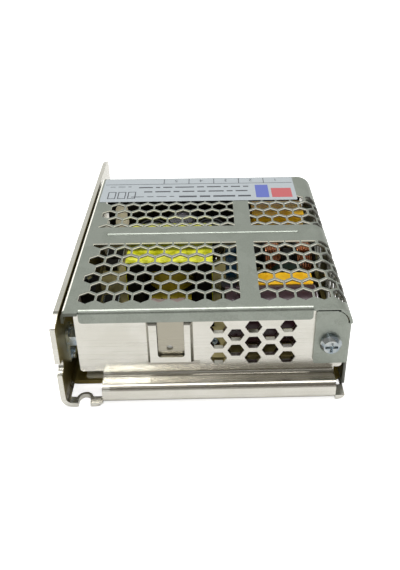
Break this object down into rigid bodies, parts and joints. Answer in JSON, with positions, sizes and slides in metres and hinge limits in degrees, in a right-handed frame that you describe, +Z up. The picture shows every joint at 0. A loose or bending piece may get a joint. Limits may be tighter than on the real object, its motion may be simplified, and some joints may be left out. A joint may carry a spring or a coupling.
{
  "type": "enclosed switching power supply",
  "caption": "Low boxed switching power supply: bent aluminium base, hexagonally perforated steel cover, board with parts inside and a screw terminal strip at one end.",
  "frame": {"origin": "centre of the case on its mounting face", "axes": "+X to the right seen from the blind end wall, +Y along the case to the terminal end, +Z up out of the mounting face"},
  "size_m": [0.082, 0.099, 0.0303],
  "materials": {
    "aluminium_sheet": "bare rolled aluminium, satin",
    "galvanised_sheet": "galvanised steel, grey green, fine grain",
    "label_film": "silvery film with plain fields",
    "clear_film": "translucent insulating film",
    "board_laminate": "tan laminate",
    "plated_metal": "bright zinc plate",
    "ferrite": "matt black ferrite",
    "black_moulding": "black moulding",
    "amber_tape": "wound tape in shade",
    "yellow_tape": "lemon yellow polyester tape",
    "maroon_sleeve": "dark maroon shrink sleeve",
    "amber_case": "amber plastic case",
    "copper_wire": "enamelled copper wire",
    "dark_resin": "dark green black resin coat",
    "blue_resin": "blue resin coat",
    "black_sleeve": "black shrink sleeve, grey top",
    "silicone_pad": "grey silicone pad",
    "resistor_coat": "pinkish grey coat",
    "ivory_silicone": "ivory silicone adhesive",
    "brass_contact": "tinned brass",
    "blue_moulding": "blue moulding",
    "white_moulding": "white moulding",
    "green_lens": "green tinted lens"
  },
  "bodies": {
    "case": {"base": "aluminium_sheet", "cover": "galvanised_sheet", "label": "label_film", "insulation_sheet": "clear_film", "circuit_board": "board_laminate", "board_pillars": "plated_metal", "board_screws": "plated_metal", "case_screws": "plated_metal", "side_nut": "plated_metal", "transformer_core": "ferrite", "transformer_bobbin": "black_moulding", "transformer_winding": "amber_tape", "transformer_tape": "yellow_tape", "bulk_capacitor": "maroon_sleeve", "film_capacitor_front": "amber_case", "film_capacitor_rear": "amber_case", "choke_core": "ferrite", "choke_bobbin": "black_moulding", "choke_windings": "copper_wire", "thermistor": "dark_resin", "fuse": "black_moulding", "bridge_rectifier": "black_moulding", "safety_capacitor": "blue_resin", "supply_capacitor": "black_sleeve", "output_capacitors": "black_sleeve", "output_inductor": "copper_wire", "power_transistor": "black_moulding", "output_rectifier": "black_moulding", "device_screws": "plated_metal", "insulating_pads": "silicone_pad", "snubber_resistor": "resistor_coat", "optocoupler": "black_moulding", "adhesive_bead": "ivory_silicone", "terminal_block": "black_moulding", "terminal_contacts": "brass_contact", "trimmer_body": "blue_moulding", "indicator_led": "green_lens"},
    "trimmer": {"trimmer_rotor": "white_moulding"},
    "clamp_1": {"terminal_clamp_1": "plated_metal"},
    "screw_1": {"terminal_screw_1": "plated_metal"},
    "clamp_2": {"terminal_clamp_2": "plated_metal"},
    "screw_2": {"terminal_screw_2": "plated_metal"},
    "clamp_3": {"terminal_clamp_3": "plated_metal"},
    "screw_3": {"terminal_screw_3": "plated_metal"},
    "clamp_4": {"terminal_clamp_4": "plated_metal"},
    "screw_4": {"terminal_screw_4": "plated_metal"},
    "clamp_5": {"terminal_clamp_5": "plated_metal"},
    "screw_5": {"terminal_screw_5": "plated_metal"}
  },
  "joints": [
    {"name": "trimmer_turn", "type": "hinge", "parent": "case", "child": "trimmer", "pos_m": [-0.0215, 0.0415, 0.0122], "axis": [0, 0, 1], "range_deg": [-130, 130]},
    {"name": "clamp_lift_1", "type": "slide", "parent": "case", "child": "clamp_1", "axis": [0, 0, 1], "range_m": [0, 0.002]},
    {"name": "screw_turn_1", "type": "hinge", "parent": "clamp_1", "child": "screw_1", "pos_m": [-0.00885, 0.0391, 0.0175], "axis": [0, 0, 1], "range_deg": [0, 1441]},
    {"name": "clamp_lift_2", "type": "slide", "parent": "case", "child": "clamp_2", "axis": [0, 0, 1], "range_m": [0, 0.002]},
    {"name": "screw_turn_2", "type": "hinge", "parent": "clamp_2", "child": "screw_2", "pos_m": [0.00065, 0.0391, 0.0175], "axis": [0, 0, 1], "range_deg": [0, 1441]},
    {"name": "clamp_lift_3", "type": "slide", "parent": "case", "child": "clamp_3", "axis": [0, 0, 1], "range_m": [0, 0.002]},
    {"name": "screw_turn_3", "type": "hinge", "parent": "clamp_3", "child": "screw_3", "pos_m": [0.01015, 0.0391, 0.0175], "axis": [0, 0, 1], "range_deg": [0, 1441]},
    {"name": "clamp_lift_4", "type": "slide", "parent": "case", "child": "clamp_4", "axis": [0, 0, 1], "range_m": [0, 0.002]},
    {"name": "screw_turn_4", "type": "hinge", "parent": "clamp_4", "child": "screw_4", "pos_m": [0.01965, 0.0391, 0.0175], "axis": [0, 0, 1], "range_deg": [0, 1441]},
    {"name": "clamp_lift_5", "type": "slide", "parent": "case", "child": "clamp_5", "axis": [0, 0, 1], "range_m": [0, 0.002]},
    {"name": "screw_turn_5", "type": "hinge", "parent": "clamp_5", "child": "screw_5", "pos_m": [0.02915, 0.0391, 0.0175], "axis": [0, 0, 1], "range_deg": [0, 1441]}
  ],
  "couplings": [
    {"joint": "screw_turn_1", "follows": "clamp_lift_1", "rad_per_m": 12566},
    {"joint": "screw_turn_2", "follows": "clamp_lift_2", "rad_per_m": 12566},
    {"joint": "screw_turn_3", "follows": "clamp_lift_3", "rad_per_m": 12566},
    {"joint": "screw_turn_4", "follows": "clamp_lift_4", "rad_per_m": 12566},
    {"joint": "screw_turn_5", "follows": "clamp_lift_5", "rad_per_m": 12566}
  ]
}
